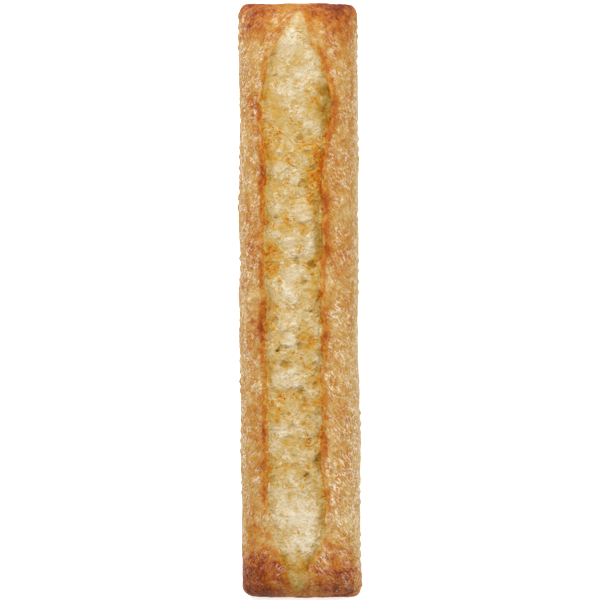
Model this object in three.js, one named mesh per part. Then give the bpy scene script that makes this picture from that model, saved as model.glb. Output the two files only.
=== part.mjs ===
// A square-ended half baguette, baked as one piece: a flat-bottomed loaf with steep sides and a low crown,
// opened along its whole top by one long cut.
// Millimetres. +X across the loaf, +Y along it, +Z up, origin under the middle of the loaf at its base.
import * as THREE from "three";

// ---- driving dimensions ----
const LENGTH = 280;
const WIDTH = 57;
const HEIGHT = 42;

// ---- the baked body ----
const BELLY_HEIGHT = 14; // where the loaf is widest
const BELLY_DROP = 16; // how far below the belly the round underside would reach, before it is baked flat
const SIDE_WAVE = 0.35; // the sides swell and pull in a little along the loaf
const LEAN = 1.0; // the far end sits this much to the left of the middle and the near end to the right
const CROWN_POWER = 2.6; // 2 is an ellipse, more is squarer
const BASE_POWER = 4;
const CORNER_RADIUS = 5; // of the corners seen from above
const END_ROUND = 16; // how far in from each end the crown starts to fall
const END_DROP = 21; // how far it has fallen where the end face begins
const END_POWER = 2.3; // the crown's fall, squarer than a quarter ellipse
const BASE_ROUND = 3.5; // how far the underside lifts at each end
const END_BULGE = 0.5; // the end faces stand out in the middle
const FACE_HEIGHT = 11.6; // the height of that middle

// ---- the cut along the top ----
const CUT_REACH = 137; // from the middle to each pointed tip
const LIP_RISE = 1.3; // the crust curls up beside the cut
const GROOVE_DEPTH = 2.4; // between each lip and the crumb that rose inside
const CRUMB_RISE = 0.7; // the crumb in the middle of the cut, above the line of the crust
const LUMP_HEIGHT = 1.1; // how rough the torn crumb is
const FULL_OPENING = 24; // the cut has its full depth where it is at least this wide
const LANE = 3; // half of the narrow lane of facets that carries on past each tip

// Where the two lips lie: (along, across), from the near tip to the far tip.
const LEFT_LIP = [
  [-CUT_REACH, -1.2],
  [-130, -5.5],
  [-122, -8.5],
  [-112, -13],
  [-85, -15.3],
  [-38, -15.3],
  [-21, -18],
  [33, -18],
  [52, -16.8],
  [85, -19.2],
  [111, -16.5],
  [119, -12.5],
  [129, -6],
  [CUT_REACH, -1.4],
];
const RIGHT_LIP = [
  [-CUT_REACH, -1],
  [-130, 3],
  [-122, 6.5],
  [-112, 11.5],
  [-90, 13],
  [-60, 11.4],
  [-22, 12.3],
  [20, 11.5],
  [42, 9.7],
  [62, 11.5],
  [90, 15],
  [109, 13],
  [119, 8.5],
  [129, 3],
  [CUT_REACH, -1],
];

// ---- facets ----
const BASE_COLUMNS = 3; // from the middle of the base to its edge, on each side
const SIDE_COLUMNS = 11; // from there up to the lip
const CRUMB_COLUMNS = 14; // from lip to lip
const COLUMNS = 2 * (BASE_COLUMNS + SIDE_COLUMNS) + CRUMB_COLUMNS;
const END_ROWS = 7; // round each end
const MIDDLE_ROWS = 52;
const ROWS = MIDDLE_ROWS + 2 * (END_ROWS + 1); // one more row lies on each end face
const FACE_ROW = 0.6; // the size of that row, against the end face's own outline

const clamp01 = (value) => Math.min(1, Math.max(0, value));
const smooth = (value) => clamp01(value) ** 2 * (3 - 2 * clamp01(value));
const signedPower = (value, power) => Math.sign(value) * Math.abs(value) ** power;

// A smooth line through the lip points, read off at a distance along the loaf.
function lipLine(points) {
  const samples = new THREE.SplineCurve(points.map(([along, across]) => new THREE.Vector2(along, across)))
    .getSpacedPoints(240);
  return (y) => {
    const after = samples.findIndex((point) => point.x >= y);
    if (after <= 0) return samples[after === 0 ? 0 : samples.length - 1].y;
    const [a, b] = [samples[after - 1], samples[after]];
    return THREE.MathUtils.mapLinear(y, a.x, b.x, a.y, b.y);
  };
}
const leftLip = lipLine(LEFT_LIP);
const rightLip = lipLine(RIGHT_LIP);

// Lumps with no sharp edges, from waves that don't repeat together. Between about -1 and 1.
function lumps(x, y, size) {
  const [u, v] = [x / size, y / size];
  const waves =
    Math.sin(2.1 * u + 1.3 * Math.sin(1.1 * v)) +
    Math.sin(1.7 * v + 0.9 * Math.sin(2.3 * u + 0.4)) +
    Math.sin(2.9 * v - 1.6 * u + 2.0);
  return waves / 3;
}

// How far the rounded ends have pulled in at this distance along the loaf: 0 in the middle, 1 at the end face.
function pulledIn(y, reach, power = 2) {
  const past = clamp01((Math.abs(y) - (LENGTH / 2 - END_BULGE - reach)) / reach);
  return 1 - (1 - past ** power) ** (1 / power);
}

function halfWidth(y, side) {
  const wave = SIDE_WAVE * (Math.sin(y / 9 + side) + Math.sin(y / 23 + 2 * side)) / 2;
  return WIDTH / 2 - SIDE_WAVE + wave - CORNER_RADIUS * pulledIn(y, CORNER_RADIUS);
}

const middleLine = (y) => -LEAN * (y / (LENGTH / 2)) * Math.abs(y / (LENGTH / 2));

// The crust's height above the base, without the cut, at this distance from the loaf's middle line.
function crownHeight(across, y) {
  const width = halfWidth(y, Math.sign(across));
  const rise = HEIGHT - LIP_RISE - BELLY_HEIGHT - END_DROP * pulledIn(y, END_ROUND, END_POWER);
  const part = clamp01(1 - Math.abs(across / width) ** CROWN_POWER) ** (1 / CROWN_POWER);
  return BELLY_HEIGHT + rise * part;
}

// What the cut adds to the crown: a curled lip, a groove beside it, and torn crumb that rose between the grooves.
function cutRelief(x, y) {
  const opening = rightLip(y) - leftLip(y);
  if (Math.abs(y) >= CUT_REACH) return 0;
  const depth = smooth(opening / FULL_OPENING);
  const inside = Math.min(x - leftLip(y), rightLip(y) - x); // negative on the crust
  if (inside <= 0) return LIP_RISE * depth * Math.exp(-((inside / 4) ** 2));
  const toCrumb = smooth((inside - 1.5) / 5);
  const groove = -GROOVE_DEPTH * smooth(inside / 1.5);
  const crumb = CRUMB_RISE + LUMP_HEIGHT * lumps(x, y, 5);
  return depth * THREE.MathUtils.lerp(LIP_RISE * (1 - smooth(inside / 1.5)) + groove, crumb, toCrumb);
}

// The superellipse angle at which the crust reaches this distance from the middle line.
const crownAngle = (across, width) => Math.acos(clamp01(Math.abs(across) / width) ** (CROWN_POWER / 2));

// A point on the skin: side is 1 or -1, column counts up from the middle of the base.
function crustPoint(side, column, y) {
  const width = halfWidth(y, side);
  const lip = side > 0 ? Math.max(rightLip(y), LANE) : Math.min(leftLip(y), -LANE);
  const top = crownAngle(lip - middleLine(y), width);
  const low = -Math.PI / 2;
  const edge = -0.25 * Math.PI;
  const angle =
    column <= BASE_COLUMNS
      ? THREE.MathUtils.lerp(low, edge, column / BASE_COLUMNS)
      : THREE.MathUtils.lerp(edge, top, (column - BASE_COLUMNS) / SIDE_COLUMNS);
  const power = angle > 0 ? CROWN_POWER : BASE_POWER;
  const across = side * width * signedPower(Math.cos(angle), 2 / power);
  const floor = BASE_ROUND * pulledIn(y, BASE_ROUND * 2);
  const x = middleLine(y) + across;
  const z =
    angle > 0
      ? crownHeight(across, y) + cutRelief(x, y) + 0.25 * lumps(x, y, 8) * smooth(angle)
      : Math.max(floor, BELLY_HEIGHT + BELLY_DROP * signedPower(Math.sin(angle), 2 / power));
  return new THREE.Vector3(x, y, z);
}

// A point between the two lips, from 0 at the right lip to 1 at the left lip.
function crumbPoint(share, y) {
  const from = Math.max(rightLip(y), LANE);
  const to = Math.min(leftLip(y), -LANE);
  const eased = (share + 2 * smooth(share)) / 3;
  const x = THREE.MathUtils.lerp(from, to, eased);
  return new THREE.Vector3(x, y, crownHeight(x - middleLine(y), y) + cutRelief(x, y));
}

// Stations along the loaf, closer together where the ends turn down. Row 1 is the first, at the near end's rim.
function stationAt(row) {
  const straight = LENGTH / 2 - END_BULGE - END_ROUND;
  const nearer = Math.min(row, ROWS - row) - 1;
  const side = row < ROWS / 2 ? -1 : 1;
  if (nearer < END_ROWS) {
    const turn = (Math.PI / 2) * (1 - nearer / END_ROWS);
    return side * (straight + END_ROUND * Math.sin(turn));
  }
  return THREE.MathUtils.mapLinear(row, END_ROWS + 1, ROWS - END_ROWS - 1, -straight, straight);
}

const faceCentre = (side) => new THREE.Vector3(0, side * (LENGTH / 2), FACE_HEIGHT);

function skinPoint(column, row) {
  if (row === 0 || row === ROWS) {
    const side = row === 0 ? -1 : 1;
    const rim = skinPoint(column, row === 0 ? 1 : ROWS - 1);
    const onFace = faceCentre(side).lerp(rim, FACE_ROW);
    onFace.y = side * (LENGTH / 2 - END_BULGE * FACE_ROW ** 2);
    return onFace;
  }
  const y = stationAt(row);
  const toRightLip = BASE_COLUMNS + SIDE_COLUMNS;
  const toLeftLip = toRightLip + CRUMB_COLUMNS;
  if (column <= toRightLip) return crustPoint(1, column, y);
  if (column < toLeftLip) return crumbPoint((column - toRightLip) / CRUMB_COLUMNS, y);
  return crustPoint(-1, COLUMNS - column, y);
}

// A closed cylinder along Y, whose columns and rows of facets are laid over the loaf's skin.
function loafGeometry() {
  const geometry = new THREE.CylinderGeometry(1, 1, 1, COLUMNS, ROWS);
  const position = geometry.getAttribute("position");
  const point = new THREE.Vector3();
  for (let i = 0; i < position.count; i++) {
    point.fromBufferAttribute(position, i);
    const side = Math.sign(point.y);
    if (Math.hypot(point.x, point.z) < 0.5) {
      point.copy(faceCentre(side));
    } else {
      const turn = Math.atan2(point.x, -point.z) / (2 * Math.PI);
      const column = Math.round((turn + 1) * COLUMNS) % COLUMNS;
      point.copy(skinPoint(column, Math.round((point.y + 0.5) * ROWS)));
    }
    position.setXYZ(i, point.x, point.y, point.z);
  }
  return geometry;
}

const crust = new THREE.MeshStandardMaterial({ color: 0xcf9a58, roughness: 0.7, metalness: 0 });

const geometry = loafGeometry();
geometry.computeBoundingBox();
const box = geometry.boundingBox;
geometry.translate(-(box.min.x + box.max.x) / 2, -(box.min.y + box.max.y) / 2, -box.min.z);
geometry.computeVertexNormals();

const loaf = new THREE.Mesh(geometry, crust);
loaf.name = "loaf";

const baguette = new THREE.Group();
baguette.add(loaf);

export default baguette;
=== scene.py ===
# %% [markdown]
# # A square-ended half baguette
#
# The real thing is one piece: dough that was pressed into a long square-ended loaf, cut once along its
# whole top, and baked on a flat tray. In the oven the crust set first, the inside went on rising, and
# the cut tore open and showed pale, fibrous crumb between two browned lips.
#
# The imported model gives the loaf's size and place. This lesson models the baked skin over it at full
# detail, and paints it with node materials that follow the way a crust takes its colour.

import math

import bmesh
import bpy
import numpy as np
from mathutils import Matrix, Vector, noise


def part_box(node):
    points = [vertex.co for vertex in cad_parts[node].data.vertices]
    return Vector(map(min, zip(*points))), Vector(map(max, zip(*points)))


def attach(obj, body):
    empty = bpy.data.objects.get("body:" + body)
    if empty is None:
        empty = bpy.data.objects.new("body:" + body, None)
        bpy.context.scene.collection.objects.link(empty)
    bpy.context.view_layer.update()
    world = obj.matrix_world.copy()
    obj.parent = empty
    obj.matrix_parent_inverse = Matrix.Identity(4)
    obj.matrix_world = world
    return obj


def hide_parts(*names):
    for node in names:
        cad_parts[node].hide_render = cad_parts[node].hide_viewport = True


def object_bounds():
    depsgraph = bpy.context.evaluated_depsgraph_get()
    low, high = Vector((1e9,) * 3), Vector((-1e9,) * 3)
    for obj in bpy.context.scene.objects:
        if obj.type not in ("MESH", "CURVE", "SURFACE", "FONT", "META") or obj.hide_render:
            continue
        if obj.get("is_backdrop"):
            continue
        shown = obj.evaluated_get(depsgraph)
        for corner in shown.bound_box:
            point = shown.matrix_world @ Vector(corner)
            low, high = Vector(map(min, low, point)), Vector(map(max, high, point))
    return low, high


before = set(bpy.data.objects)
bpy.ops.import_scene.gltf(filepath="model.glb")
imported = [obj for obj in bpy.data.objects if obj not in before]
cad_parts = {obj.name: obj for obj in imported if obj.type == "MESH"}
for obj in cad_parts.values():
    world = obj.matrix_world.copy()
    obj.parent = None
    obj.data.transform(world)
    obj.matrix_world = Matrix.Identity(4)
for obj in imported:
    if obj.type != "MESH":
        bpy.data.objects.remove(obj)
cad_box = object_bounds()
low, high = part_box("loaf")
MM = 0.001
WIDTH, LENGTH, HEIGHT = [size / MM for size in high - low]

# %% [markdown]
# ## Camera
#
# The loaf lies along +Y and is seen from straight above. A long lens from far away keeps the sides
# from showing, as in a catalogue picture, so the outline seen is the widest line of the loaf.
# The lens is worked out so that the loaf fills the height of a square frame but for a narrow margin.

# %% Camera, straight above
CAMERA_HEIGHT = 2.5
FRAME_MARGIN = 1.0115
WIDEST_AT = 0.33 * HEIGHT * MM

camera_data = bpy.data.cameras.new("camera")
camera_data.sensor_width = 36
seen = LENGTH * MM * FRAME_MARGIN
camera_data.lens = camera_data.sensor_width * (CAMERA_HEIGHT - WIDEST_AT) / seen
camera = bpy.data.objects.new("camera", camera_data)
camera.location = (0, 0, CAMERA_HEIGHT)
bpy.context.scene.collection.objects.link(camera)
bpy.context.scene.camera = camera
print(f"lens {camera_data.lens:.0f} mm")

# %% [markdown]
# ## Light and floor
#
# Bread looks best in soft, nearly shadowless light. A big soft light hangs over the far left, a weaker one
# fills in from the right, and the pale surroundings do the rest. The standard view keeps colours as they
# are mixed, where a filmic one would grey the white floor.

# %% A pale floor and soft light
bpy.context.scene.view_settings.view_transform = "Standard"
WORLD_STRENGTH = 0.5
FLOOR_SIZE = 8
FLOOR_TONE = (0.94, 0.94, 0.94, 1)
FLOOR_GLOW = 0.4  # a light table, which keeps the shadow beside the loaf faint


def soft_light(name, place, size, watts):
    """A square light panel at this place, turned towards the loaf."""
    data = bpy.data.lights.new(name, "AREA")
    data.energy = watts
    data.size = size
    panel = bpy.data.objects.new(name, data)
    panel.location = place
    panel.rotation_euler = (-Vector(place)).to_track_quat("-Z", "Y").to_euler()
    bpy.context.scene.collection.objects.link(panel)
    return panel


soft_light("key_light", (-0.4, 0.85, 1.45), 0.6, 30)
soft_light("fill_light", (0.9, 0.0, 1.5), 1.2, 14)

world = bpy.data.worlds.new("studio")
world.use_nodes = True
world.node_tree.nodes["Background"].inputs["Color"].default_value = (1, 1, 1, 1)
world.node_tree.nodes["Background"].inputs["Strength"].default_value = WORLD_STRENGTH
bpy.context.scene.world = world

floor_mesh = bmesh.new()
bmesh.ops.create_grid(floor_mesh, x_segments=1, y_segments=1, size=FLOOR_SIZE / 2)
floor = bpy.data.objects.new("floor", bpy.data.meshes.new("floor"))
floor_mesh.to_mesh(floor.data)
floor_mesh.free()
bpy.context.scene.collection.objects.link(floor)
floor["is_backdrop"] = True
paper = bpy.data.materials.new("white_paper")
paper.use_nodes = True
paper_shader = paper.node_tree.nodes["Principled BSDF"]
paper_shader.inputs["Base Color"].default_value = FLOOR_TONE
paper_shader.inputs["Roughness"].default_value = 0.9
paper_shader.inputs["Emission Color"].default_value = (1, 1, 1, 1)
paper_shader.inputs["Emission Strength"].default_value = FLOOR_GLOW
floor.data.materials.append(paper)
print("floor", FLOOR_SIZE, "m")

# %% [markdown]
# ## The block of dough
#
# The loaf starts as a cube that is cut into a fine grid, as dough starts as a plain block. A block has a
# top, a base, two sides and two ends, just like this loaf, so every later step can ask where on it a point
# began. `ACROSS`, `UP` and `ALONG` say how many cuts each direction gets. The grid is finer than the
# finished mesh needs, because a later step thins it where it is smooth.

# %% Cut a cube into a fine grid
ACROSS, UP, ALONG = 125, 58, 650

dough = bmesh.new()
bmesh.ops.create_cube(dough, size=2)
for axis, cuts in ((1, ALONG), (0, ACROSS), (2, UP)):
    edges = [e for e in dough.edges if abs(e.verts[0].co[axis] - e.verts[1].co[axis]) > 1e-6]
    if axis == 1:
        edges = [e for e in edges if abs(e.verts[0].co[axis]) == 1]
    bmesh.ops.subdivide_edges(dough, edges=edges, cuts=cuts, use_grid_fill=True)
bmesh.ops.recalc_face_normals(dough, faces=dough.faces)
loaf_mesh = bpy.data.meshes.new("baked_loaf")
dough.to_mesh(loaf_mesh)
dough.free()

points = np.zeros(len(loaf_mesh.vertices) * 3)
loaf_mesh.vertices.foreach_get("co", points)
block = points.reshape(-1, 3)
print(len(block), "points in the block")

# %% [markdown]
# ## A map of the skin
#
# Before the block changes shape, each face is given its place on a flat map. The skin from one base
# edge over the top to the other stays in one wide strip, so no seam crosses the crust. The base and
# the two ends lie beside it.

# %% Lay the block's faces on a flat map
side_of_face = np.zeros(len(loaf_mesh.polygons) * 3)
loaf_mesh.polygons.foreach_get("normal", side_of_face)
side_of_face = np.round(side_of_face.reshape(-1, 3)).astype(int)
corner_point = np.zeros(len(loaf_mesh.loops), int)
loaf_mesh.loops.foreach_get("vertex_index", corner_point)
corner = block[corner_point]
facing = np.repeat(side_of_face, 4, axis=0)
part_across, part_along, part_up = ((corner[:, i] + 1) / 2 for i in range(3))

STRIPS = {"left": (0.01, 0.22), "top": (0.22, 0.62), "right": (0.62, 0.83), "base": (0.85, 0.99)}
BASE_REACH, END_SIZE = 0.5, 0.2


def strip(name, part):
    start, stop = STRIPS[name]
    return start + (stop - start) * part


flat = np.stack([strip("top", part_across), 0.01 + 0.98 * part_along], axis=1)
is_left, is_right, is_base = facing[:, 0] < 0, facing[:, 0] > 0, facing[:, 2] < 0
flat[is_left, 0] = strip("left", part_up[is_left])
flat[is_right, 0] = strip("right", 1 - part_up[is_right])
flat[is_base] = np.stack([strip("base", part_across), 0.01 + BASE_REACH * part_along], axis=1)[is_base]
for turn, start in ((-1, BASE_REACH + 0.04), (1, BASE_REACH + END_SIZE + 0.07)):
    is_end = facing[:, 1] == turn
    flat[is_end] = np.stack([strip("base", part_up), start + END_SIZE * part_across], axis=1)[is_end]
skin_map = loaf_mesh.uv_layers.new(name="OFBake")
skin_map.data.foreach_set("uv", flat.ravel())
print("map reaches", flat.min(axis=0).round(3), "to", flat.max(axis=0).round(3))

# %% [markdown]
# ## The loaf's form
#
# A section through the loaf is two squarish ellipses that meet at the belly, its widest line: a tall one
# for the crown and a flatter one for the underside, cut off by the tray. Along the loaf the crown falls
# away at both ends and the corners are rounded. The loaf isn't quite straight either: its middle bows out
# a little to one side and its ends lean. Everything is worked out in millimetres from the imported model's
# own width, length and height.
#
# numpy moves all the points at once, in place of the editor's sculpting brushes.

# %% Helpers for curves
def ease(value):
    """0 below 0, 1 above 1, and a smooth step between them."""
    value = np.clip(value, 0, 1)
    return value * value * (3 - 2 * value)


def quarter(value, power=2.0):
    """How far a rounded end has fallen: 0 at its start, 1 at its end, where it is steep."""
    return 1 - (1 - np.clip(value, 0, 1) ** power) ** (1 / power)


def hump(value):
    """1 at 0, falling smoothly to nothing at about 2."""
    return np.exp(-(value**2))


def signed_power(value, power):
    return np.sign(value) * abs(value) ** power


def evenly(curve_x, curve_y, steps):
    """The curve's own parameter, from 0 to 1, at evenly spaced distances along it."""
    gone = np.concatenate([[0], np.cumsum(np.hypot(np.diff(curve_x), np.diff(curve_y)))])
    return np.interp(steps * gone[-1], gone, np.linspace(0, 1, len(gone)))


print("ease", ease(np.array([0.25, 0.5, 0.75])), "hump", hump(np.array([0, 1, 2])).round(2))

# %% The loaf's section and profile
BELLY = 0.33 * HEIGHT  # height of the widest line
BELLY_DROP = 0.38 * HEIGHT  # how far below it the underside would reach, before the tray cuts it off
HALF_WIDTH = WIDTH / 2 - 1.1  # the swells of the skin and the bow make up the rest
LEAN = 1.0  # the far end sits this much to the left
BOW, BOW_AT, BOW_REACH = 0.6, 25, 70  # the middle bows out to the left
CROWN_POWER, BASE_POWER = 2.6, 4
CROWN = HEIGHT - 1.6  # the crust's height at the middle, below the lips
CORNER_RADIUS = 5
END_BULGE = 0.5
END_AT = LENGTH / 2 - END_BULGE
END_ROUND, END_DROP, END_POWER = 16, 0.5 * HEIGHT, 2.3
BASE_ROUND = 3.0
FACE_HEIGHT = 0.27 * HEIGHT
PROFILE_STEPS = 2001


def half_width(y):
    return HALF_WIDTH - CORNER_RADIUS * quarter((abs(y) - END_AT + CORNER_RADIUS) / CORNER_RADIUS)


def middle_line(y):
    return -LEAN * (y / END_AT) * abs(y / END_AT) - BOW * hump((y - BOW_AT) / BOW_REACH)


def end_fall(y):
    return END_DROP * quarter((abs(y) - END_AT + END_ROUND) / END_ROUND, END_POWER)


def crown_height(across, y):
    part = np.clip(1 - abs(across / half_width(y)) ** CROWN_POWER, 0, 1) ** (1 / CROWN_POWER)
    return BELLY + (CROWN - BELLY - end_fall(y)) * part


# Rows of points lie evenly along the profile, round both ends too.
row = np.linspace(-1, 1, PROFILE_STEPS)
row_turn = np.sign(row) * (1 - (1 - abs(row)) ** 2)
profile_y = END_AT * row_turn
profile_row = evenly(profile_y, -end_fall(profile_y), (block[:, 1] + 1) / 2)
y = np.interp(profile_row, np.linspace(0, 1, len(row)), profile_y)
print(f"rows from {y.min():.1f} to {y.max():.1f} mm")

# %% [markdown]
# ## Where the cut runs
#
# Each lip of the cut is a smooth line through a few points, given as distance along the loaf and across
# it. The cut is widest near the far end and its two tips are off centre, as a baker's single long stroke
# leaves them. A little wander is added to each line, because crust tears and doesn't follow the blade.

# %% The two lips
CUT_REACH = 137.5
LEFT_LIP = [
    (-CUT_REACH, -1.6), (-135, -5.8), (-126, -7.8), (-121, -9.6), (-118, -11), (-115, -12.4),
    (-108, -14.4), (-95, -15.7), (-85, -15.9), (-72, -15.3), (-60, -16.1), (-45, -16.1), (-34, -16.5),
    (-22, -17.2), (-10, -17.1), (1, -16.8), (12, -17.8), (25, -18.1), (40, -17.5), (51, -17.2),
    (61, -16.9), (72, -18), (79, -18.4), (93, -18.7), (99, -18.3), (106, -17), (110, -16.2), (116, -14),
    (120, -11.2), (123, -8.9), (126.6, -7.2), (130, -4.9), (134, -2.9), (CUT_REACH, -1.8),
]
RIGHT_LIP = [
    (-CUT_REACH, 0.4), (-135, 3), (-126, 3.9), (-121, 6.2), (-118, 8.2), (-115, 10.6), (-108, 12),
    (-98, 12.8), (-91, 12.8), (-84, 11.6), (-77, 10.4), (-70, 10.4), (-60, 11.4), (-45, 11.2),
    (-34, 10.5), (-27, 11.4), (-20, 10.8), (-13, 11.4), (-6, 10.5), (5, 10.6), (15, 10.2), (25, 11.4),
    (36, 10.8), (43, 11.2), (51, 10.7), (60, 10.8), (72, 12.4), (79, 13.7), (86, 15.2), (92, 15.4),
    (99, 14.2), (106, 11.8), (112, 10.4), (116, 8.6), (119, 5.9), (123.5, 4.6), (127, 3.2), (130, 1.9),
    (134, 0), (CUT_REACH, -0.8),
]
LIP_STEP = 0.25
LIP_SOFTNESS = 4  # millimetres over which the line rounds its corners
SLOW_WANDER, FAST_WANDER = 0.35, 0.3
LEAST_LANE = 1.0  # each lip stays this far from the middle, past the tips too
SEED_STEP = 37.0  # far enough for two seeds to have nothing in common


def wander(coordinates, size, detail=1, seed=0):
    """Smooth random values, about -1 to 1, that change over this size in millimetres."""
    scaled = np.asarray(coordinates, float) / size + SEED_STEP * seed
    if detail == 1:
        return 1.8 * np.array([noise.noise(Vector(p)) for p in scaled.tolist()])
    return 1.4 * np.array([noise.fractal(Vector(p), 0.9, 2.1, detail) for p in scaled.tolist()])


def lip_line(corners, seed):
    """A soft, slightly wandering line through the corners, as a table of along and across."""
    along = np.arange(-LENGTH / 2, LENGTH / 2, LIP_STEP)
    across = np.interp(along, *np.array(corners).T)
    brush = np.hanning(int(LIP_SOFTNESS / LIP_STEP))
    margin = len(brush)
    across = np.convolve(np.pad(across, margin, "edge"), brush / brush.sum(), "same")[margin:-margin]
    line = np.stack([along, 0 * along, 0 * along], axis=1)
    open_part = ease((CUT_REACH - abs(along)) / 12)
    wandering = SLOW_WANDER * wander(line, 5, seed=seed) + FAST_WANDER * wander(line, 1.7, seed=seed + 1)
    return along, across + open_part * wandering


left_line = lip_line(LEFT_LIP, seed=1)
right_line = lip_line(RIGHT_LIP, seed=3)
left_lip = np.minimum(np.interp(y, *left_line), -LEAST_LANE)
right_lip = np.maximum(np.interp(y, *right_line), LEAST_LANE)
print(f"the cut is {(right_lip - left_lip).max():.1f} mm wide at its widest")

# %% [markdown]
# ## From block to loaf
#
# The block's top goes to the crown, with three fifths of its columns between the lips, where the torn
# crumb needs the most points. Its sides go round the belly to the base, and its ends close the loaf
# with a slight bulge. A point inside an end is placed between the end's middle and its rim.

# %% Lay the block over the loaf
SHOULDER = math.radians(42)  # where the block's top edge lands on the section
CRUMB_PART = 0.6

reach = np.maximum(abs(block[:, 0]), abs(block[:, 2]))
on_end = reach < 1
safe = np.maximum(reach, 1e-9)
across_part, up_part = block[:, 0] / safe, block[:, 2] / safe
width = half_width(y)


def section(angle, crown_rise):
    """Across, as a part of the half width, and rise above the belly, at this angle."""
    power = np.where(angle > 0, CROWN_POWER, BASE_POWER)
    rise = np.where(angle > 0, crown_rise, BELLY_DROP)
    return np.cos(angle) ** (2 / power), rise * signed_power(np.sin(angle), 2 / power)


# The side: even steps of angle would crowd the belly, so they are evened out along a middle section.
base_angle = -math.asin((BELLY / BELLY_DROP) ** (BASE_POWER / 2))
angles = np.linspace(SHOULDER, base_angle, 400)
curve_across, curve_up = section(angles, CROWN - BELLY)
even_steps = evenly(HALF_WIDTH * curve_across, curve_up, (1 - up_part) / 2)
side_angle = SHOULDER + (base_angle - SHOULDER) * even_steps
side_across, side_rise = section(side_angle, CROWN - BELLY - end_fall(y))

on_top = up_part >= 1 - 1e-9
on_base = up_part <= -1 + 1e-9
shoulder = width * math.cos(SHOULDER) ** (2 / CROWN_POWER)
to_edge = (abs(across_part) - CRUMB_PART) / (1 - CRUMB_PART)
between = (across_part / CRUMB_PART + 1) / 2
middle = middle_line(y)
edge_x = middle + np.sign(across_part) * shoulder
lip_x = np.where(across_part > 0, right_lip, left_lip)
crumb_x = left_lip + (right_lip - left_lip) * between
top_x = np.where(to_edge > 0, lip_x + (edge_x - lip_x) * to_edge, crumb_x)
base_half = width * math.cos(base_angle) ** (2 / BASE_POWER)

x = middle + np.sign(across_part) * width * side_across
z = np.maximum(BELLY + side_rise, 0)
x[on_top] = top_x[on_top]
z[on_top] = crown_height(top_x - middle, y)[on_top]
x[on_base] = (middle + across_part * base_half)[on_base]
z[on_base] = 0
z = np.maximum(z, BASE_ROUND * quarter((abs(y) - END_AT + 2 * BASE_ROUND) / (2 * BASE_ROUND)))

# Points inside the ends move from the rim towards the end's middle.
x = np.where(on_end, middle + (x - middle) * reach, x)
z = np.where(on_end, FACE_HEIGHT + (z - FACE_HEIGHT) * reach, z)
y = np.where(on_end, np.sign(y) * (END_AT + END_BULGE * (1 - reach**2)), y)
form = np.stack([x, y, z], axis=1)


def set_points(mesh, millimetres):
    mesh.vertices.foreach_set("co", (millimetres * MM).ravel())
    mesh.update()


set_points(loaf_mesh, form)
print("form", form.min(axis=0).round(1), "to", form.max(axis=0).round(1))

# %% [markdown]
# ## The skin of the crust
#
# A baked crust is never smooth. It has slow swells where the dough was shaped, wrinkles a few millimetres
# wide and tiny blisters. Beside the cut it is drawn into folds that slant away from it. The lower sides
# carry the small regular dimples of a perforated tray, which scallop the outline seen from above. Each is
# a layer of noise or of waves, and together they push the points along the surface normal.

# %% Swells, wrinkles, folds, blisters and tray dimples
SWELL, WRINKLE, FOLD, BLISTER, DIMPLE = 0.5, 0.24, 0.5, 0.22, 0.36  # heights in millimetres
TRAY_PITCH = 4.8
NO_CUT = -50.0  # how far inside the cut a point counts as where there is none
normals = np.zeros(len(form) * 3)
loaf_mesh.vertex_normals.foreach_get("vector", normals)
normals = normals.reshape(-1, 3)

on_crown = on_top & ~on_end
cut_depth = ease((right_lip - left_lip - 3) / 14) * ease((CUT_REACH - abs(y)) / 5)
inside = np.where(on_crown, np.minimum(x - left_lip, right_lip - x), NO_CUT)  # negative on the crust
crust = 1 - ease(inside / 0.4 + 0.5)

swell = SWELL * wander(form, 26, 2, seed=5)
wrinkle = WRINKLE * wander(form * (1, 0.8, 1), 5, 3, seed=6)
slanted = np.stack([0.6 * abs(x) + 0.8 * y, 0.8 * abs(x) - 0.6 * y, np.sign(x)], axis=1)
beside_cut = hump((inside + 6) / 7) * cut_depth
fold = FOLD * beside_cut * wander(slanted / (2.6, 9, 0.1), 1, 2, seed=8)
blister = BLISTER * np.maximum(wander(form, 2.6, seed=7) - 0.45, 0)
low_side = ease((BELLY + 9 - z) / 9)
tray_wave = np.cos(2 * np.pi * y / TRAY_PITCH + 1.2 * wander(form, 30, seed=9))
dimple = DIMPLE * low_side * tray_wave * ease(0.5 + 1.2 * wander(form, 11, seed=10))
above_tray = ease(z / 4)
relief = (swell + wrinkle + fold + blister) * crust + dimple * above_tray
relief *= 0.25 + 0.75 * above_tray
skin = form + normals * relief[:, None]
skin[:, 2] = np.maximum(skin[:, 2], 0)
print(f"crust relief {relief.min():.2f} to {relief.max():.2f} mm")

# %% [markdown]
# ## Lips and grooves
#
# Beside the cut the crust dried and curled up into two thin lips. Between lip and crumb lies a groove
# that comes and goes: where it is deep the loaf shows dark hollows, and where it closes the crumb runs up
# to the lip. The hollows are listed, each as its place along the loaf, half length and depth.

# %% Curl the lips and sink the grooves
LIP_RISE = 0.8
LIP_CURL = 0.3
GROOVE_DEPTH = 0.35
LEFT_HOLLOWS = [
    (112, 6, 0.9), (60, 14, 0.4), (38, 9, 0.5), (-5, 14, 0.9), (-32, 5, 0.4), (-62, 9, 0.6),
    (-92, 10, 0.5),
]
RIGHT_HOLLOWS = [
    (90, 11, 2.0), (45, 6, 1.1), (27, 8, 1.5), (-3, 7, 0.7), (-30, 5, 1.1), (-56, 5, 0.7),
    (-76, 5, 1.3), (-100, 8, 0.5),
]


def along_loaf(places, y):
    """A smooth profile with a rounded step at each place, given as middle, half length and size."""
    total = 0 * y
    for centre, half_length, size in places:
        total = np.maximum(total, size * hump(((y - centre) / half_length) ** 2))
    return total


on_right = x - (left_lip + right_lip) / 2 > 0


def by_side(left, right):
    """The first value left of the middle of the cut, and the second one right of it."""
    return np.where(on_right, right, left)


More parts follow.
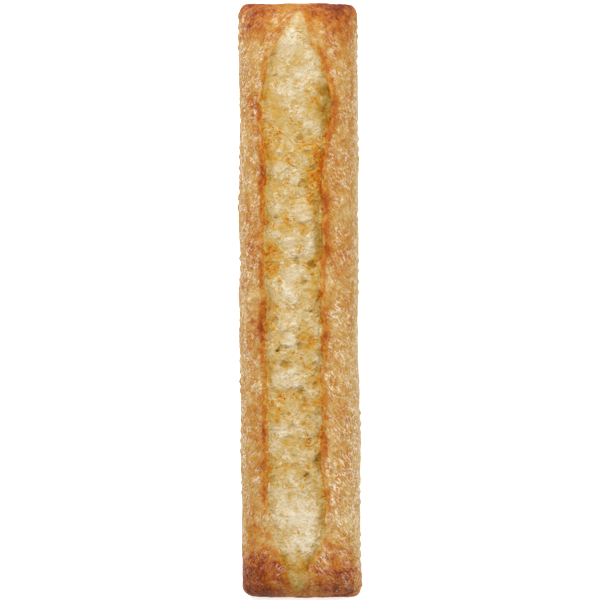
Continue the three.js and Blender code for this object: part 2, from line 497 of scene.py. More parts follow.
ragged = wander(form, 3, 2, seed=11)
calm = 0.2 + 0.8 * ease((117 - abs(y)) / 16)
lip_height = calm * LIP_RISE * (1 + 0.45 * wander(form * (0, 1, 0), 9, 2, seed=12)) * cut_depth
lip = lip_height * np.where(inside < 0, hump(inside / 2.6), 1 - ease(inside / 1.4))
hollow_depth = by_side(along_loaf(LEFT_HOLLOWS, y), along_loaf(RIGHT_HOLLOWS, y))
groove_depth = calm * (GROOVE_DEPTH * (1 + 0.5 * ragged) + hollow_depth) * cut_depth
groove_width = 3.2 + 1.8 * hollow_depth + 1.2 * ragged
groove = -groove_depth * ease(inside / 1.8) * (1 - ease((inside - 0.9) / np.maximum(groove_width, 1.5)))
curl = by_side(LIP_CURL, -LIP_CURL) * cut_depth * hump(inside / 0.8)
skin[:, 0] += np.where(on_crown, curl, 0)
skin[:, 2] += np.where(on_crown, lip + groove, 0)
print(f"lips up to {lip.max():.1f} mm high, grooves down to {groove.min():.1f} mm")

# %% [markdown]
# ## Torn crumb: lumps
#
# The crumb rose as it tore, so it is made of lumps with creases between them. Cell noise gives lumps of
# three sizes, and each large one keeps a tone of its own. The two ends of the cut stay smoother. The
# largest lobes are listed, as ovals with a ragged rim and a crease on their lower right side.

# %% Lumps of three sizes
LUMP_SIZES = ((11.0, 0.9), (5.0, 0.7), (2.6, 0.36))  # size and height, in millimetres
SMOOTH_ENDS = [(118, 30, 1), (-103, 21, 1)]  # along, half length and smoothness

chosen = np.flatnonzero((inside > -0.3) & on_crown)
spot_x, spot_y, spot_inside = x[chosen], y[chosen], inside[chosen]
spot = np.stack([spot_x, spot_y, 0 * spot_x], axis=1)
warp = np.stack([wander(spot, 9, 2, seed=20), wander(spot, 9, 2, seed=21), 0 * spot_x], axis=1)


def lumps(spot, size, seed):
    """Rounded lumps, from 0 in the creases to about 1 on top, and a random level for each lump."""
    scaled = (spot + 0.22 * size * warp) / size * (1, 0.8, 1) + 11.0 * seed
    near, levels = [], []
    for p in scaled.tolist():
        distances, places = noise.voronoi(Vector(p))
        near.append(distances[:2])
        levels.append(noise.cell(places[0] * 7.3))
    near = np.array(near)
    dome = ease((near[:, 1] - near[:, 0]) * 1.6)
    return dome, np.array(levels)


crumb = 0 * spot_x
crease = 0 * spot_x
for seed, (size, height) in enumerate(LUMP_SIZES):
    dome, level = lumps(spot, size, seed)
    crumb += height * (0.55 * dome + 0.35 * level * dome)
    crease += (1 - dome) * height
    if seed == 0:
        lump_tone = (level - 0.5) * dome
torn = 1 - 0.75 * along_loaf(SMOOTH_ENDS, spot_y)
crumb = (crumb - crumb.mean()) * (0.35 + 0.65 * torn)
print(f"{len(chosen)} crumb points, lumps {crumb.min():.1f} to {crumb.max():.1f} mm")

# %% Lobes
LOBE_RISE = 0.4
# Across, along, half width and half length.
LOBES = [
    (2, 85, 7, 6.5), (2.6, 66, 4.2, 5), (-10, 60, 4.5, 4), (-3.4, 51, 5, 4.5), (0.8, 41.5, 5.4, 7),
    (-12, 42, 4, 4), (-1.6, 26, 8.2, 6), (-3, 12.5, 6, 4.6), (4.5, 3, 5, 4.5), (-6, 1, 5, 4.5),
    (-4.8, -16.5, 4.6, 7), (6, -11, 3.4, 5), (7.4, -25, 2.4, 5), (-8, -37, 6.2, 6),
    (0, -38.5, 4.2, 2.8), (7, -42.5, 3.2, 3), (-5.6, -49, 6.4, 4), (-6, -60, 6.2, 5), (3, -62, 5, 3.6),
    (-2, -73, 7, 5), (0, -104, 10.5, 14), (-1, 104, 11, 11),
]

lobe = 0 * crumb
lee = 0 * crumb
lobe_edge = 0.32 * wander(spot, 3.4, 2, seed=51) + 0.1 * wander(spot, 1.2, seed=52)
# Each lobe's lee is a crease on its lower right side, away from the light; it sinks the crumb and later also
# sets painted shade.
for lobe_x, lobe_y, half_across, half_along in LOBES:
    right_of, beyond = (spot_x - lobe_x) / half_across, (spot_y - lobe_y) / half_along
    away = np.hypot(right_of, beyond) + lobe_edge
    lobe = np.maximum(lobe, ease((1.2 - away) / 0.6))
    lee = np.maximum(lee, hump((away - 1.05) / 0.13) * ease(0.1 + 0.6 * (right_of - beyond)))
lee *= ease(0.6 + wander(spot, 6, seed=53))
crumb += LOBE_RISE * lobe
print(len(LOBES), "lobes")

# %% [markdown]
# ## Torn crumb: fibres and gas holes
#
# Fine fibres were pulled sideways as the cut opened. They come from noise that is stretched in three
# directions, with a fine grain over it. The largest gas holes are listed one by one and a seeded generator
# scatters the rest, so each run makes the same loaf. Last come the deep spots, where little light gets.

# %% Fibres and grain
FIBRE_RISE, GRAIN_RISE = 0.24, 0.15
FIBRE_WAYS = ((-0.15, 30), (0.55, 31), (-0.7, 32))  # angle and seed


def turn_axes(across, along, angle):
    """The same two distances along axes that are turned by this angle."""
    cos, sin = math.cos(angle), math.sin(angle)
    return across * cos + along * sin, along * cos - across * sin


fibre = 0 * crumb
for angle, seed in FIBRE_WAYS:
    fibre_way = np.stack([*turn_axes(spot_x, spot_y, angle), 0 * spot_x], axis=1) + 0.8 * warp
    strength = ease(0.5 + 1.1 * wander(spot, 10, seed=seed + 10))
    fibre += strength * wander(fibre_way / (4.0, 0.85, 1), 1, 2, seed=seed)
crumb += FIBRE_RISE * fibre
crumb += GRAIN_RISE * wander(spot, 0.9, seed=33)
print(f"fibres {fibre.min():.1f} to {fibre.max():.1f}, crumb {crumb.min():.1f} to {crumb.max():.1f} mm")

# %% Gas holes
# Across, along and radius.
HOLES_BY_HAND = [
    (-7.3, -30, 1.9), (-10.9, -10, 1.6), (-1.4, 17.5, 1.6), (5.4, 16.5, 1.8), (1.7, 8.5, 1.3),
    (-8.3, -22, 1.8), (0, -21, 1.4), (0.5, -42.5, 1.8), (2.1, -47, 1.3), (6.8, -41, 1.3), (4, 69, 1.6),
    (0, 76, 1.1), (-2.8, -73, 1.3), (-2.6, -77.5, 1.2), (-13, -83.5, 1.6), (3.5, -82.5, 1.8),
    (1.6, 54.5, 1.7), (6, 62, 1.6), (-12, 44, 1.4), (-4, -60, 1.7),
]
SCATTERED_HOLES = 300
HOLE_DEPTH = 0.6  # as a part of the hole's radius

random = np.random.default_rng(8)
holes = list(HOLES_BY_HAND)
while len(holes) < len(HOLES_BY_HAND) + SCATTERED_HOLES:
    hole_y = random.uniform(-132, 132)
    hole_x = random.uniform(np.interp(hole_y, *left_line), np.interp(hole_y, *right_line))
    holes.append((hole_x, hole_y, 0.35 + 0.6 * random.random() ** 3))
pit = 0 * crumb
for hole_x, hole_y, radius in holes:
    stretch, tilt = random.uniform(1, 1.7), random.uniform(-0.8, 0.8)
    near = np.flatnonzero(abs(spot_y - hole_y) < 3 * radius)
    along, beside = turn_axes(spot_x[near] - hole_x, spot_y[near] - hole_y, tilt)
    distance = np.hypot(along / stretch, beside) / radius + 0.35 * fibre[near] + 0.3 * crumb[near]
    pit[near] = np.maximum(pit[near], radius * HOLE_DEPTH * (1 - ease(distance / 1.3 - 0.1)))
print(len(holes), "holes")

# %% Deep spots, and the crumb goes into the cut
# Across, along, half width, half length and depth.
DEEP_SPOTS = [
    (9.5, 88, 2.6, 4, 0.8), (9, 98, 1.8, 4, 0.6), (1.6, 54.5, 1.7, 2, 0.6), (4, 51, 1.6, 2.4, 0.5),
    (6, 46, 1.5, 3.4, 0.5), (7, 38, 1.6, 5, 0.45), (8.6, 27, 2, 6, 0.5), (6, 16.5, 2, 2, 0.8),
    (1.5, 8.5, 2.2, 2, 0.6), (-11.5, 59, 3.4, 3.4, 0.35), (0.3, -45, 3.4, 4.5, 0.45),
    (6.5, -40.5, 2.2, 1.8, 0.5), (4.3, -68, 2.4, 2.4, 0.45), (9, -76, 2.2, 3.6, 0.55),
    (8, -91, 1.8, 6, 0.55), (-7, -120, 2, 2.4, 0.8), (4, -123, 1.8, 4.5, 0.6),
    (-0.3, -22, 1.2, 2.6, 0.7), (4.6, 79, 1.6, 1.4, 0.8), (0, 76, 1.4, 1.8, 0.7),
]
LEE_DEPTH, DEEP_DROP = 0.42, 0.55
CRUMB_RISE, SLOW_RISE, FIBRE_PULL = 0.9, 0.8, 0.25


def oval(across, along, centre_x, centre_y, wide, long):
    """The squared distance from the middle of an oval, 1 on its rim."""
    return ((across - centre_x) / wide) ** 2 + ((along - centre_y) / long) ** 2


deep = 0 * crumb
for *place_and_size, strength in DEEP_SPOTS:
    from_spot = oval(spot_x, spot_y, *place_and_size)
    deep = np.maximum(deep, strength * hump(0.9 * from_spot * (1 + 0.3 * fibre)))
# Deep spots and the lee creases sink the crumb here, and later also set painted shade in its colour.
deep = np.maximum(deep, LEE_DEPTH * lee)
pit += DEEP_DROP * deep
rise = CRUMB_RISE * ease(spot_inside / 5) + SLOW_RISE * wander(spot, 22, 2, seed=34)
blend_in = ease(spot_inside / 2.5) * cut_depth[chosen]
skin[chosen, 2] += blend_in * (crumb + rise) - pit * cut_depth[chosen] * ease(spot_inside / 0.6)
skin[chosen, 0] += FIBRE_PULL * fibre * blend_in
print(f"{len(DEEP_SPOTS)} deep spots, pits down to {pit.max():.1f} mm")

# %% [markdown]
# ## What the skin remembers: crumb and lips
#
# The finishes need to know where the skin is crumb, how far it is toasted, where shade is painted
# into its hollows, where flour lies and where it is scorched orange. These masks are worked out beside the
# shape that they follow. The lips come first: they stood up in the hot air and browned most, but little at
# the ends of the cut.

# %% Where the crumb begins
opening = np.interp(y, *right_line) - np.interp(y, *left_line)
softness = 1.2 + 2.4 * ease((abs(y) - 92) / 22)
frayed = wander(form, 1.8, 2, seed=49)
far_tip = ease((y - 120) / 8)
fray = 0.6 * ragged * (1 - far_tip) - 0.15 * far_tip
crumb_mask = ease((inside + 1.2 * frayed) / softness + 0.5 + fray)
crumb_mask *= ease((opening - 0.8) / 2) * ease((CUT_REACH - abs(y)) / 4)
print(f"crumb on {(crumb_mask > 0.5).mean():.0%} of the points")

# %% Browned lips
# Along, half length and strength.
LEFT_SCORCH = [(59, 12, 1), (-5, 17, 1), (-61, 6, 0.8), (-90, 6, 0.8), (112, 8, 0.7)]
RIGHT_SCORCH = [(113, 7, 0.9), (91, 15, 1), (35, 17, 1), (-16, 6, 0.9), (-70, 6, 0.7), (-112, 10, 0.5)]
LIP_CREST = -0.8  # the lip is brownest this far outside its line
MOST_LIP_TOAST = 0.5

outside = np.maximum(-inside, 0)
scorch = by_side(along_loaf(LEFT_SCORCH, y), along_loaf(RIGHT_SCORCH, y))
browned = 0.25 + 0.75 * ease((y + 104) / 14) * ease((by_side(118, 124) - y) / 14)
spread = 0.8 + by_side(0.3, 1.0) * scorch
past_crest = inside - LIP_CREST
from_lip = np.where(past_crest > 0, past_crest / 1.5, -past_crest / spread)
streaked = wander(form * (1, 0.35, 1), 2.0, 2, seed=50)
lip_band = hump(from_lip) * (0.25 + 0.27 * scorch)
lip_band += 0.05 * hump(outside / 4.5) * (0.5 + scorch) * spread
lip_band *= browned * ease(cut_depth * 3) * (1 + 0.3 * ragged + 0.6 * streaked)
lip_band = MOST_LIP_TOAST * np.tanh(lip_band / MOST_LIP_TOAST)
reddened = 0.66 - 0.4 * scorch
reddened *= ease(lip_band * 2.6 - 0.12) * ease(0.55 + 0.9 * streaked + 0.5 * ragged)
print(f"lips toasted up to {lip_band.max():.2f}")

# %% [markdown]
# ## What the skin remembers: toast
#
# Both ends of the loaf are thin and browned early, most of all beside their corners, while the long rims
# stayed paler. Over that lie slow blotches and a few listed patches. The crumb is toasted along the
# lips, on ridges and round the creases, with patches of its own.

# %% Toast on the crust
CRUST_TOAST = 0.28
BROWNED = [
    (-22, 122, 5, 8, 0.14), (-23, 89, 4, 7, 0.2), (-25, 14, 3, 20, 0.1), (18, 118, 7, 12, 0.17),
    (18, 64, 5, 10, 0.12), (19, -122, 7, 8, 0.17), (17, -110, 4, 7, 0.1), (-23, -123, 6, 6, 0.1),
    (-10, -133, 6, 7, -0.12), (-10, 132, 8, 7, -0.12), (27, 134, 5, 7, -0.12), (16, 137, 5, 4, -0.05),
    (20, 84, 5, 12, -0.08),
]


def patches(places):
    """Soft ovals on the skin, each as across, along, half width, half length and strength."""
    return sum(strength * hump(oval(x, y, *place_and_size)) for *place_and_size, strength in places)


rightness = np.tanh(x / 9)  # -1 left of the middle, 1 right of it
end_reach = np.where(y > 0, 22, 32)
end_bake = 0.6 * ease((abs(y) - END_AT + end_reach) / end_reach)
end_bake *= 0.3 + 0.64 * hump((abs(x) - 20) / 13)
uneven_ends = np.where(y > 0, 0.98 + 0.17 * rightness, 1.2 - 0.15 * rightness)
end_bake *= uneven_ends + 0.25 * wander(form, 9, 2, seed=45)
end_bake += patches(BROWNED)
pale_rim = (0.09 + 0.04 * rightness) * ease((abs(x) - 23.5) / 3)
blotch = 0.17 * wander(form, 13, 3, seed=40) + 0.10 * wander(form, 3.5, 2, seed=41)
toast = CRUST_TOAST - 0.03 * rightness - pale_rim + lip_band + end_bake + blotch
print(f"crust toast {toast.min():.2f} to {toast.max():.2f}")

# %% Toast on the crumb
# Across, along and size.
TOASTED = [
    (-9.9, 76, 4.5), (6, 68, 5), (9, 66, 4), (-7.3, 39, 3), (-8.7, 33, 3), (-5.4, -1.4, 2.5), (9, 2, 4),
    (3.5, -50.5, 3), (-9.7, -45, 3.5), (-8.3, -75.5, 2.5), (8, -48, 3), (10, 57, 4), (6, 43, 5),
    (-13, 24, 5), (-13, 14, 4.5), (6, -86, 5), (-5, 66, 4), (10.5, -80, 4), (11, -88, 5), (12, -98, 4),
]
PALE = [(1, 79, 5), (-1, -82, 6), (-12, -8, 6), (7, 16, 4), (-12, -33, 5), (7, -30, 5), (-11, -62, 4)]
PATCH_TOAST, PATCH_PALENESS = 0.22, 0.1
EDGE_GOLD, WIDE_EDGE_GOLD, RIDGE_GOLD, CREASE_GOLD = 0.36, 0.12, 0.17, 0.13
LUMP_GOLD, LOBE_GOLD, HEIGHT_GOLD = 0.16, 0.07, -0.08

crumb_toast = 0 * crumb
speckle = 0.5 * wander(spot, 2.5, 2, seed=47)
for toast_x, toast_y, size in TOASTED:
    distance = np.hypot(spot_x - toast_x, spot_y - toast_y) / size
    crumb_toast = np.maximum(crumb_toast, PATCH_TOAST * hump(distance + speckle))
for pale_x, pale_y, size in PALE:
    crumb_toast -= PATCH_PALENESS * hump(np.hypot(spot_x - pale_x, spot_y - pale_y) / size)
crumb_toast *= 1 + fibre

broad = ease((opening[chosen] - 3) / 9)
edge = hump(spot_inside / (1.4 + 0.9 * ragged[chosen])) * browned[chosen]
crumb_toast += EDGE_GOLD * broad * edge
wide_edge = hump((spot_inside - 3) / 3.5) * ease(0.6 + wander(spot, 15, seed=46))
crumb_toast += WIDE_EDGE_GOLD * wide_edge * torn
ridge = ease(fibre * 0.9 - 0.2) * ease(0.1 + 1.3 * wander(spot, 6, 2, seed=42))
crumb_toast += RIDGE_GOLD * ridge * torn
crumb_toast += CREASE_GOLD * crease * ease(wander(spot, 12, 2, seed=43) + 0.5)
crumb_toast += LUMP_GOLD * lump_tone * torn + LOBE_GOLD * (0.4 - lobe) + HEIGHT_GOLD * crumb
far_half, far_end = ease((spot_y - 50) / 40), ease((spot_y - 116) / 10)
crumb_toast += 0.1 + 0.16 * torn + 0.08 * far_half - 0.19 * far_end
crumb_toast = np.clip(crumb_toast, 0, 1)

is_crumb = crumb_mask[chosen]
toast[chosen] = toast[chosen] * (1 - is_crumb) + crumb_toast * is_crumb
print(f"crumb toast {crumb_toast.min():.2f} to {crumb_toast.max():.2f}")

# %% [markdown]
# ## What the skin remembers: flour, and painted shade in hollows
#
# The crumb gets a painted olive-brown shade where it is hollow or low: in holes and deep spots, in creases
# and between fibres, beside the lips near both ends of the cut, in the grooves beside the lips and at the
# narrow near tip. Flour was dusted on before baking. It stayed on the sides and in patches, burnt off the
# ends, and was pushed off the lips as they curled.

# %% Painted shade in hollows, and flour
FLOURED = [
    (19, -92, 10, 25, 0.5), (-20, 92, 6, 24, 0.3), (19, -10, 5, 12, 0.25), (-21, 20, 4, 20, 0.2),
    (20, 84, 5, 12, 0.25), (26, 98, 3, 8, 0.5), (24, -59, 4, 8, 0.4), (-21, 66, 3, 12, 0.3),
]

# Painted shade in the valleys between fibres and lumps, where the crumb lies low, beside the lips near both
# ends of the cut, and at the near tip.
valley_shade = ease(-0.5 * fibre - 0.1) + 0.12 * crease + ease((0.1 - crumb) / 1.2)
valley_shade += 0.7 * ease((abs(spot_y) - 88) / 12) * hump(spot_inside / 3)
near_tip = ease((-spot_y - 115) / 9)
valley_shade += near_tip * (0.45 + 0.8 * hump(spot_inside / 1.6) + 0.6 * fibre)
# Painted shade in the grooves beside the lips, stronger where a groove is deeper.
basin_edge = 4.0 + 1.5 * ragged[chosen]
groove_shade = hollow_depth[chosen] / 2 * ease(spot_inside / 1.5)
groove_shade *= 1 - ease((spot_inside - basin_edge) / 1.5)
# All the painted shade adds up here: holes, deep spots and lee creases, valleys and grooves. Only the crumb
# gets it.
shadow = pit / 2.5 + 0.24 * deep + 0.36 * valley_shade + 0.5 * groove_shade - 0.12
painted_shade = 0 * toast
painted_shade[chosen] = np.clip(shadow, 0, 1) * is_crumb

burnt_off = ease(end_bake * 2.2)
floury = 0.45 + 0.05 * rightness + 0.3 * wander(form, 9, 2, seed=44)
flour = ease(floury + 0.5 * ease((abs(x) - 21) / 7))
flour *= 1 - np.where(y > 0, 0.85, 0.6) * burnt_off
flour += (1.4 + 0.4 * np.sign(x)) * ease((abs(x) - 24.5) / 3) * (1 - 0.9 * burnt_off)
flour += patches(FLOURED)
flour += 0.5 * hump((outside - 4) / 3) * ease(2 * wander(form, 7, 2, seed=48)) * cut_depth
flour *= 1 - 0.9 * ease(lip_band * 4.5)
print(f"hollows on {(painted_shade > 0.5).mean():.0%} of the points")

# %% [markdown]
# ## Masks onto the mesh
#
# Each mask becomes an attribute of the mesh, one value for each point, where the node materials can
# read it by name. Only now does the mesh take its finished shape.

# %% Write the masks and the skin
skin_masks = {"crumb": crumb_mask, "toast": toast, "painted_shade": painted_shade, "flour": flour, "scorch": reddened}
for name, values in skin_masks.items():
    mask = loaf_mesh.attributes.new(name, "FLOAT", "POINT")
    mask.data.foreach_set("value", values.astype(np.float32))
    print(f"{name}: {values.min():.2f} to {values.max():.2f}, mean {values.mean():.2f}")
set_points(loaf_mesh, skin)

# %% [markdown]
# ## Thin the mesh
#
# The grid is even, but the base needs few points and the crumb needs many. Decimate takes points from the
# crust, first where it is flat, and leaves nearly all of the crumb, until the piece is below 200,000
# triangles. The result replaces the fine grid, so no modifier is left on the piece.

# %% Keep the points where the skin is rough
MOST_TRIANGLES = 196_000
KEEP_CRUMB = 0.02
CRUMB_MARGIN = 1.5  # the crust this near to the cut is kept too

loaf = bpy.data.objects.new("baked_loaf", loaf_mesh)
bpy.context.scene.collection.objects.link(loaf)
may_thin = loaf.vertex_groups.new(name="may_thin")
may_thin.add([int(i) for i in np.flatnonzero(inside < -CRUMB_MARGIN)], 1.0, "REPLACE")
thin = loaf.modifiers.new("thin", "DECIMATE")
thin.ratio = min(1, MOST_TRIANGLES / (2 * len(loaf_mesh.polygons)))
thin.vertex_group = may_thin.name
thin.vertex_group_factor = KEEP_CRUMB
seen_by_modifiers = bpy.context.evaluated_depsgraph_get()
thinned = bpy.data.meshes.new_from_object(loaf.evaluated_get(seen_by_modifiers))
loaf.modifiers.clear()
loaf.vertex_groups.clear()
loaf.data = thinned
thinned.name = "baked_loaf_thinned"
thinned.shade_smooth()
print(len(thinned.vertices), "points,", sum(len(p.vertices) - 2 for p in thinned.polygons), "triangles")

# %% [markdown]
# ## Helpers for nodes
#
# A node material is a chain of small calculations. Each helper adds one node and gives back the socket
# to read, so that a chain reads like a formula. A value can be a constant or another node's socket.

# %% Node helpers
NODE_SHIFT = 200  # nodes stand this far apart in the editor


def new_group(name, inputs, outputs):
    """An empty shader group, from its inputs' values and its outputs' kinds, and its two end nodes."""
    group = bpy.data.node_groups.new(name, "ShaderNodeTree")
    for socket_name, value in inputs.items():
        socket = group.interface.new_socket(socket_name, in_out="INPUT", socket_type="NodeSocketFloat")
        socket.default_value = value
    for socket_name, kind in outputs.items():
        group.interface.new_socket(socket_name, in_out="OUTPUT", socket_type=kind)
    return group, group.nodes.new("NodeGroupInput"), group.nodes.new("NodeGroupOutput")


def place(tree, kind, values=None, **settings):
    """Adds a node with these settings, and sets or links its inputs to these values."""
    node = tree.nodes.new(kind)
    node.location.x = NODE_SHIFT * len(tree.nodes)
    for key, setting in settings.items():
        setattr(node, key, setting)
    for name, value in (values or {}).items():
        if isinstance(value, bpy.types.NodeSocket):
            tree.links.new(value, node.inputs[name])
        else:
            node.inputs[name].default_value = value
    return node


def calculate(tree, operation, *values, clamp=False):
    """A Math node."""
    node = place(tree, "ShaderNodeMath", dict(enumerate(values)), operation=operation, use_clamp=clamp)
    return node.outputs[0]


def between_values(tree, value, start, stop, to_start=0.0, to_stop=1.0):
    """A smooth Map Range: start and stop become to_start and to_stop."""
    values = {"Value": value, "From Min": start, "From Max": stop, "To Min": to_start, "To Max": to_stop}
    node = place(tree, "ShaderNodeMapRange", values, interpolation_type="SMOOTHSTEP")
    return node.outputs["Result"]


def mix_colours(tree, factor, first, second, blend="MIX"):
    """A Mix node set to colours, which are its inputs 6 and 7."""
    values = {"Factor": factor, 6: first, 7: second}
    return place(tree, "ShaderNodeMix", values, data_type="RGBA", blend_type=blend).outputs[2]


def noise_field(tree, coordinates, size, detail=2.0, roughness=0.5):
    """A Noise texture whose features are about this many millimetres across."""
    values = {"Vector": coordinates, "Scale": 1 / (size * MM), "Detail": detail, "Roughness": roughness}
    return place(tree, "ShaderNodeTexNoise", values).outputs["Fac"]


print("node helpers are ready")

# %% [markdown]
# ## Shared pattern: streaks
#
# Flour on the crust lies in short diagonal streaks that fan outwards from the cut, because the skin
# stretched that way as the loaf rose. The same group gives the crumb its fine torn threads. It turns
# and stretches the Object coordinates, mirrored about the middle of the loaf, and reads noise there.

# %% The streak group
streaks, given, result = new_group(
    "diagonal_streaks",
    {"Angle": 0.8, "Length": 3.0, "Thickness": 0.6, "Mirror": 1.0, "Bend": 0.5},
    {"Streak": "NodeSocketFloat"},
)
MOST_BEND = 30 * MM

where = streaks.nodes.new("ShaderNodeTexCoord").outputs["Object"]
axes = place(streaks, "ShaderNodeSeparateXYZ", {"Vector": where}).outputs
mirror = given.outputs["Mirror"]
folded = calculate(streaks, "SUBTRACT", calculate(streaks, "ABSOLUTE", axes["X"]), axes["X"])
mirrored = calculate(streaks, "MULTIPLY_ADD", folded, mirror, axes["X"])
side = calculate(streaks, "MULTIPLY", calculate(streaks, "SIGN", axes["X"]), mirror)
waver = calculate(streaks, "SUBTRACT", noise_field(streaks, where, 6.0), 0.5)
bend = calculate(streaks, "MULTIPLY", given.outputs["Bend"], MOST_BEND)
bent = calculate(streaks, "MULTIPLY_ADD", waver, bend, axes["Y"])
apart = calculate(streaks, "ADD", axes["Z"], side)
outward = place(streaks, "ShaderNodeCombineXYZ", {"X": mirrored, "Y": bent, "Z": apart}).outputs[0]
aimed = {"Vector": outward, "Angle": given.outputs["Angle"]}
turned = place(streaks, "ShaderNodeVectorRotate", aimed, rotation_type="Z_AXIS").outputs[0]
parts = place(streaks, "ShaderNodeSeparateXYZ", {"Vector": turned}).outputs
long_way = calculate(streaks, "DIVIDE", parts["X"], given.outputs["Length"])
short_way = calculate(streaks, "DIVIDE", parts["Y"], given.outputs["Thickness"])
stretched = place(streaks, "ShaderNodeCombineXYZ", {"X": long_way, "Y": short_way, "Z": parts["Z"]})
streaks.links.new(noise_field(streaks, stretched.outputs[0], 1.0), result.inputs["Streak"])
print(streaks.name, "has", len(streaks.nodes), "nodes")

# %% [markdown]
# ## Colours
#
# Colours are given as a screen shows them, from 0 to 255, and nodes take linear values. The lit loaf looks
# brighter than its own colours, so each is also divided by how much. A ramp strings several together.

# %% Helpers for colours
LIGHT_LEVEL = 1.58  # how much brighter than its own colour the lit loaf looks


def tone(colour, light=LIGHT_LEVEL):
    """A colour as seen in this scene's light, turned into the colour of the material itself."""
    shares = [part / 255 for part in colour]
    linear = [s / 12.92 if s < 0.04 else ((s + 0.055) / 1.055) ** 2.4 for s in shares]
    return [part / light for part in linear] + [1]


def ramp(tree, value, tones, light=LIGHT_LEVEL):
    """A Color Ramp through these tones, each a position from 0 to 1 and a colour."""
    node = place(tree, "ShaderNodeValToRGB", {"Fac": value})
    stops = node.color_ramp.elements
    while len(stops) < len(tones):
        stops.new(1.0)
    for stop, (position, colour) in zip(stops, tones):
        stop.position = position
        stop.color = tone(colour, light)
    return node.outputs["Color"]


print("mid grey becomes", round(tone((128, 128, 128))[0], 3))

# %% [markdown]
# ## Finish: crust
#
# A crust browns by degrees, from floury cream through gold and orange to dark red-brown, so its colour is
# one ramp read at the level of toast. Noise of several sizes shifts the level so that no two spots match.
# The lips lean towards orange, and flour lies over it all in streaks and as a thin veil. Toasted
# places are a little glossier and floury ones are dull.

# %% The crust group
CRUST_TONES = [
    (0.00, (220, 182, 116)),
    (0.20, (207, 160, 84)),
    (0.40, (201, 139, 56)),
    (0.58, (195, 116, 42)),
    (0.76, (172, 84, 32)),
    (1.00, (124, 54, 28)),
]
SCORCH_TONE = (204, 104, 28)
FLOUR_TONE = (248, 232, 204)
FINISH_OUT = {"Color": "NodeSocketColor", "Roughness": "NodeSocketFloat", "Height": "NodeSocketFloat"}

crust_look, given, result = new_group("baked_crust", {"Toast": 0.3, "Flour": 0.5, "Scorch": 0.0}, FINISH_OUT)
where = crust_look.nodes.new("ShaderNodeTexCoord").outputs["Object"]
mottle = noise_field(crust_look, where, 3.2, detail=4.0, roughness=0.6)
speck = noise_field(crust_look, where, 0.8)
fan_shape = {"Angle": 0.85, "Length": 4.2, "Thickness": 0.55, "Bend": 0.12}
streak = place(crust_look, "ShaderNodeGroup", fan_shape, node_tree=streaks).outputs["Streak"]

# Toast, shifted by noise, reads the ramp.
uneven = calculate(crust_look, "MULTIPLY_ADD", mottle, 1.25, -0.62)
uneven = calculate(crust_look, "ADD", uneven, calculate(crust_look, "MULTIPLY_ADD", speck, 0.45, -0.22))
dark_streaks = calculate(crust_look, "MULTIPLY_ADD", streak, -0.5, 0.25)
uneven = calculate(crust_look, "ADD", uneven, dark_streaks)
more_when_dark = calculate(crust_look, "MULTIPLY_ADD", given.outputs["Toast"], 0.15, 0.72)
level = calculate(crust_look, "MULTIPLY_ADD", uneven, more_when_dark, given.outputs["Toast"], clamp=True)
baked = ramp(crust_look, level, CRUST_TONES)
baked = mix_colours(crust_look, given.outputs["Scorch"], baked, tone(SCORCH_TONE))

# Flour covers it in clumped streaks, and as a grainy veil between them.
clumped = between_values(crust_look, noise_field(crust_look, where, 2.6), 0.38, 0.62, 0.2, 1.5)
streaky = between_values(crust_look, noise_field(crust_look, where, 9.0), 0.42, 0.58, 0.4, 0.9)
grainy = between_values(crust_look, noise_field(crust_look, where, 1.1), 0.52, 0.64, 0.0, 0.55)
amount = calculate(crust_look, "MULTIPLY", given.outputs["Flour"], clumped)
dusted = between_values(crust_look, streak, 0.5, 0.6)
dusting = calculate(crust_look, "MULTIPLY", dusted, amount, clamp=True)
veil = calculate(crust_look, "MULTIPLY", amount, grainy)
cover = calculate(crust_look, "MAXIMUM", calculate(crust_look, "MULTIPLY", dusting, streaky), veil)

gloss = between_values(crust_look, level, 0.3, 0.9, 0.8, 0.62)
finish = {
    "Color": mix_colours(crust_look, cover, baked, tone(FLOUR_TONE)),
    "Roughness": calculate(crust_look, "MULTIPLY_ADD", cover, 0.15, gloss),
    "Height": calculate(crust_look, "MULTIPLY_ADD", mottle, 0.7, speck),
}
for name, socket in finish.items():
    crust_look.links.new(socket, result.inputs[name])
print(crust_look.name, "has", len(crust_look.nodes), "nodes")

# %% [markdown]
# ## Finish: crumb
#
# Torn crumb is cream where it is thick and gold where an edge caught the heat. Over its hollows an
# olive-brown shade is painted, standing in for shade and for light that passes through bread there. Fine
# threads in two directions break up each tone.

# %% The crumb group
CRUMB_TONES = [
    (0.00, (238, 225, 198)),
    (0.22, (223, 200, 158)),
    (0.42, (210, 178, 112)),
    (0.62, (208, 160, 64)),
    (0.80, (210, 132, 34)),
    (1.00, (182, 88, 24)),
]
# Painted shade: a filter from white to olive-brown, multiplied over the crumb's colour in its hollows.
PAINTED_SHADE_TONES = [(0.0, (255, 255, 255)), (0.5, (228, 204, 132)), (1.0, (182, 140, 64))]
THREAD_ANGLES = (0.45, -0.35)
THREAD_SHAPE = {"Length": 3.2, "Thickness": 0.6, "Mirror": 0, "Bend": 0.35}

crumb_look, given, result = new_group("torn_crumb", {"Toast": 0.1, "Painted_Shade": 0.0}, FINISH_OUT)
where = crumb_look.nodes.new("ShaderNodeTexCoord").outputs["Object"]
cloud = noise_field(crumb_look, where, 3.0, detail=3.0, roughness=0.6)
fine = noise_field(crumb_look, where, 0.7)
thread_values = []
for angle in THREAD_ANGLES:
    thread = place(crumb_look, "ShaderNodeGroup", THREAD_SHAPE | {"Angle": angle}, node_tree=streaks)
    thread_values.append(thread.outputs["Streak"])
threads = calculate(crumb_look, "MAXIMUM", *thread_values)

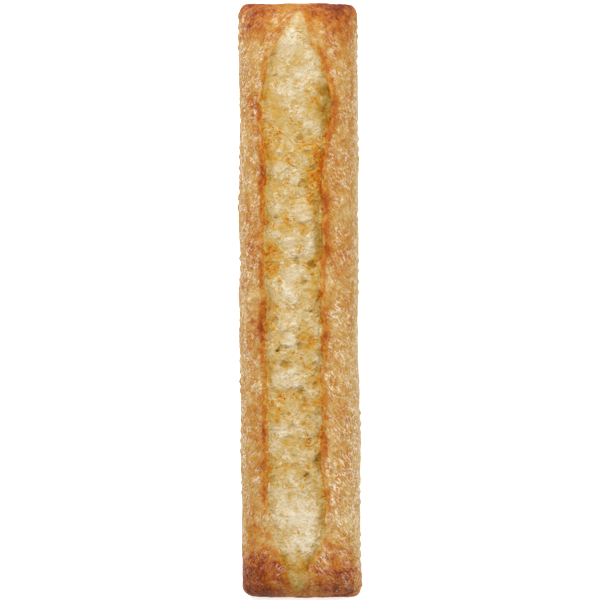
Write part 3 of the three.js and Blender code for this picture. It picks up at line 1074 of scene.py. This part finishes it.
clouded = calculate(crumb_look, "MULTIPLY_ADD", cloud, 0.36, -0.17)
level = calculate(crumb_look, "ADD", given.outputs["Toast"], clouded)
strength = between_values(crumb_look, noise_field(crumb_look, where, 7.0), 0.4, 0.6, 0.7, 2.3)
shredded = calculate(crumb_look, "MULTIPLY", calculate(crumb_look, "SUBTRACT", 0.56, threads), strength)
fine_light = calculate(crumb_look, "MULTIPLY_ADD", fine, -0.4, 0.2)
shredded = calculate(crumb_look, "ADD", shredded, fine_light)
level = calculate(crumb_look, "ADD", level, shredded, clamp=True)
baked = ramp(crumb_look, level, CRUMB_TONES)

# The painted shade, made uneven by fine noise, is a filter over the crumb's colour, so it isn't divided by
# the light.
fine_dark = calculate(crumb_look, "MULTIPLY_ADD", fine, 0.3, -0.17)
shade_depth = calculate(crumb_look, "ADD", given.outputs["Painted_Shade"], fine_dark, clamp=True)
shade = ramp(crumb_look, shade_depth, PAINTED_SHADE_TONES, light=1)

finish = {
    "Color": mix_colours(crumb_look, 1.0, baked, shade, blend="MULTIPLY"),
    "Roughness": calculate(crumb_look, "MULTIPLY_ADD", level, -0.2, 0.86),
    "Height": calculate(crumb_look, "MULTIPLY_ADD", threads, 0.7, fine),
}
for name, socket in finish.items():
    crumb_look.links.new(socket, result.inputs[name])
print(crumb_look.name, "has", len(crumb_look.nodes), "nodes")

# %% [markdown]
# ## The baked skin
#
# Crust and crumb are one skin with no seam, so one material holds both finishes and the crumb mask fades
# between them. The shader itself stays here, with its constant values on its own sockets, and the
# two groups only bring colour, roughness and height.

# %% One material for the whole skin
skin_look = bpy.data.materials.new("baked_skin")
skin_look.use_nodes = True
tree = skin_look.node_tree
shader = tree.nodes["Principled BSDF"]


def mask_value(name):
    return place(tree, "ShaderNodeAttribute", attribute_name=name).outputs["Fac"]


masks = {name: mask_value(name) for name in skin_masks}
crust_inputs = {"Toast": masks["toast"], "Flour": masks["flour"], "Scorch": masks["scorch"]}
crumb_inputs = {"Toast": masks["toast"], "Painted_Shade": masks["painted_shade"]}
on_crust = place(tree, "ShaderNodeGroup", crust_inputs, node_tree=crust_look).outputs
on_crumb = place(tree, "ShaderNodeGroup", crumb_inputs, node_tree=crumb_look).outputs


def crossfade(name):
    """The crust's value of this output, fading to the crumb's where the mask says crumb."""
    change = calculate(tree, "SUBTRACT", on_crumb[name], on_crust[name])
    return calculate(tree, "MULTIPLY_ADD", change, masks["crumb"], on_crust[name])


colour = mix_colours(tree, masks["crumb"], on_crust["Color"], on_crumb["Color"])
tree.links.new(colour, shader.inputs["Base Color"])
tree.links.new(crossfade("Roughness"), shader.inputs["Roughness"])
relief_map = {"Height": crossfade("Height"), "Strength": 0.9, "Distance": 0.5 * MM}
bump = place(tree, "ShaderNodeBump", relief_map)
tree.links.new(bump.outputs["Normal"], shader.inputs["Normal"])
shader.inputs["Specular IOR Level"].default_value = 0.02
loaf.data.materials.clear()
loaf.data.materials.append(skin_look)
print(skin_look.name, "has", len(tree.nodes), "nodes")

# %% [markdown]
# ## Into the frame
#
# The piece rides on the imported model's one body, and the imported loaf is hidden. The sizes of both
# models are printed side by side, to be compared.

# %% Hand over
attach(loaf, "root")
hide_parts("loaf")

visual_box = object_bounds()
for name, (lowest, highest) in (("cad", cad_box), ("visual", visual_box)):
    print(name, [f"{c / MM:.1f}" for c in lowest], [f"{c / MM:.1f}" for c in highest])
